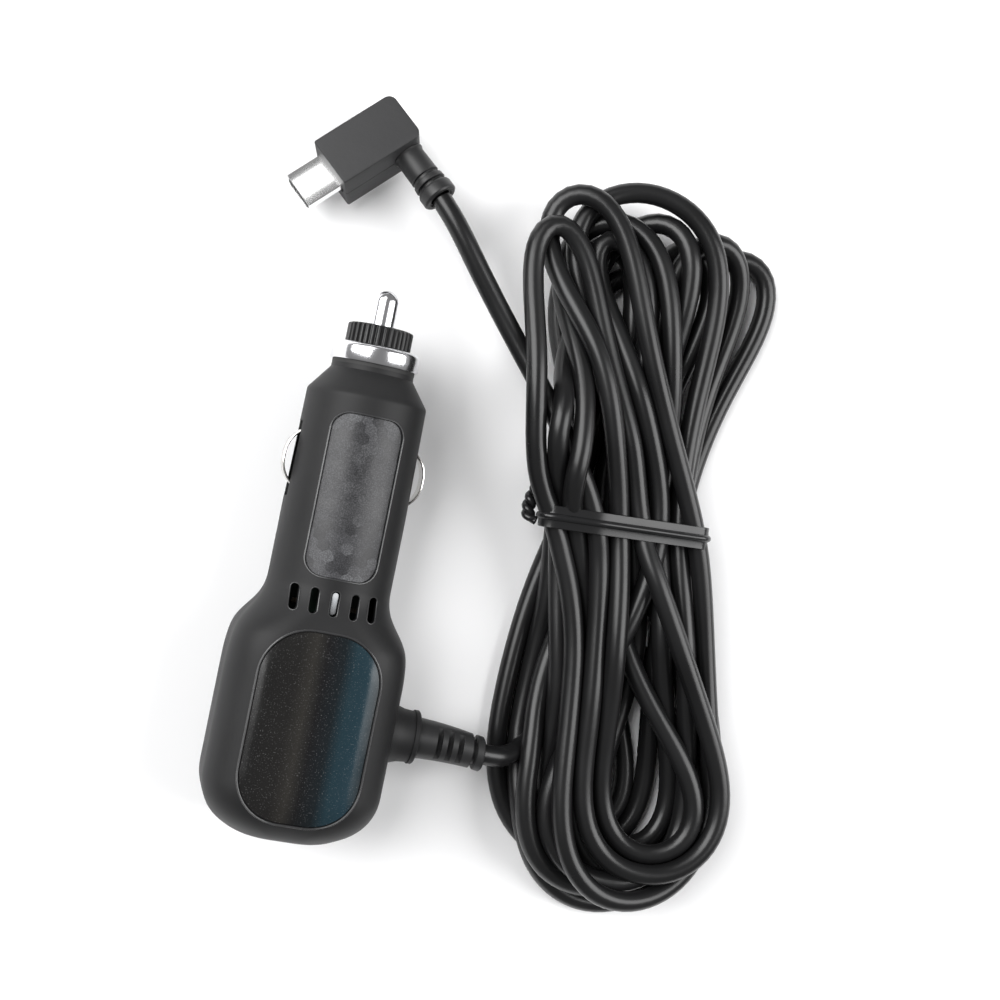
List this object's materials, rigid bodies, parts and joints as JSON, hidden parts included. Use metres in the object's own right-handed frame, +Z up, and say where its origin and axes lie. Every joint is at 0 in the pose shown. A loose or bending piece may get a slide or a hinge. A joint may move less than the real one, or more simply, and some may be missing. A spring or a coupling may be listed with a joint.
{
  "type": "vehicle accessory socket power adapter with fixed lead",
  "caption": "Accessory-socket plug that steps 12/24 V down to 5 V, with a fixed lead tied in a hank and a right-angle mini-USB plug.",
  "frame": {"origin": "on the table under the middle of the adapter's own box, without its lead", "axes": "+Y along the adapter to its nose, +Z up through the label, +X to the side that the lead leaves"},
  "size_m": [0.1003, 0.1312, 0.0239],
  "materials": {
    "soft_touch_plastic": "soft-touch matte black",
    "collar_plastic": "satin black, knurled",
    "chrome": "polished chrome",
    "nickel": "bright nickel plate",
    "rubber_washer": "matte black",
    "spring_steel": "drawn wire",
    "fuse_glass": "clear glass",
    "fuse_wire": "tinned wire",
    "brass": "formed brass",
    "board": "green solder mask",
    "ferrite": "sintered ferrite",
    "copper_wire": "enamelled copper winding",
    "capacitor_can": "dark blue sleeve",
    "chip_epoxy": "moulded epoxy",
    "ceramic_chips": "ceramic body with tinned ends",
    "led_lens": "clear epoxy lens",
    "red_wire": "red insulation",
    "black_wire": "black insulation",
    "panel_film": "dark grey glitter film",
    "label_film": "glossy dark speckled film",
    "relief_rubber": "satin moulded PVC",
    "cord_jacket": "satin black PVC",
    "tie_plastic": "glossy black PVC",
    "usb_body_plastic": "fine matte grain",
    "usb_shell_steel": "bright nickel-plated steel",
    "usb_insulator_plastic": "moulded black",
    "gold": "gold-plated contacts"
  },
  "bodies": {
    "housing": {"housing_top": "soft_touch_plastic", "housing_bottom": "soft_touch_plastic", "contact_spring": "spring_steel", "fuse_cup": "brass", "contact_bridge": "brass", "circuit_board": "board", "inductor_core": "ferrite", "inductor_winding": "copper_wire", "input_capacitor": "capacitor_can", "output_capacitor": "capacitor_can", "regulator_ic": "chip_epoxy", "rectifier_diode": "chip_epoxy", "chip_parts": "ceramic_chips", "indicator_led": "led_lens", "positive_lead": "red_wire", "negative_lead": "black_wire", "output_wires": "black_wire", "front_panel_film": "panel_film", "rear_label": "label_film", "strain_relief": "relief_rubber", "cord_adapter_side": "cord_jacket", "cord_hank": "cord_jacket", "cord_plug_side": "cord_jacket", "hank_tie": "tie_plastic", "usb_strain_relief": "relief_rubber", "usb_plug_body": "usb_body_plastic", "usb_shell": "usb_shell_steel", "usb_insulator": "usb_insulator_plastic", "usb_contacts": "gold"},
    "cap_slide": {"nose_washer": "rubber_washer"},
    "nose_cap": {"nose_collar": "collar_plastic", "nose_ring": "chrome"},
    "contact": {"center_contact": "nickel", "fuse_tube": "fuse_glass", "fuse_end_caps": "nickel", "fuse_element": "fuse_wire"},
    "side_contact_left": {"side_contact_left": "nickel"},
    "side_contact_right": {"side_contact_right": "nickel"}
  },
  "joints": [
    {"name": "cap_travel", "type": "slide", "parent": "housing", "child": "cap_slide", "axis": [0, 1, 0], "range_m": [0, 0.005]},
    {"name": "nose_cap_turn", "type": "hinge", "parent": "cap_slide", "child": "nose_cap", "pos_m": [-0.0022, 0.0388, 0.012], "axis": [0, -1, 0], "range_deg": [0, 1800]},
    {"name": "contact_press", "type": "slide", "parent": "nose_cap", "child": "contact", "axis": [0, -1, 0], "range_m": [0, 0.004], "stiffness_N_per_m": 250, "springref_m": -0.004, "deforming": ["contact_spring"]},
    {"name": "side_contact_press_left", "type": "hinge", "parent": "housing", "child": "side_contact_left", "pos_m": [-0.0098, 0.0264, 0.012], "axis": [0, 0, 1], "range_deg": [0, 12], "stiffness_Nm_per_rad": 0.3, "springref_deg": -2.86},
    {"name": "side_contact_press_right", "type": "hinge", "parent": "housing", "child": "side_contact_right", "pos_m": [0.0054, 0.0264, 0.012], "axis": [0, 0, -1], "range_deg": [0, 12], "stiffness_Nm_per_rad": 0.3, "springref_deg": -2.86}
  ],
  "couplings": [
    {"joint": "nose_cap_turn", "follows": "cap_travel", "rad_per_m": 6283.2}
  ]
}
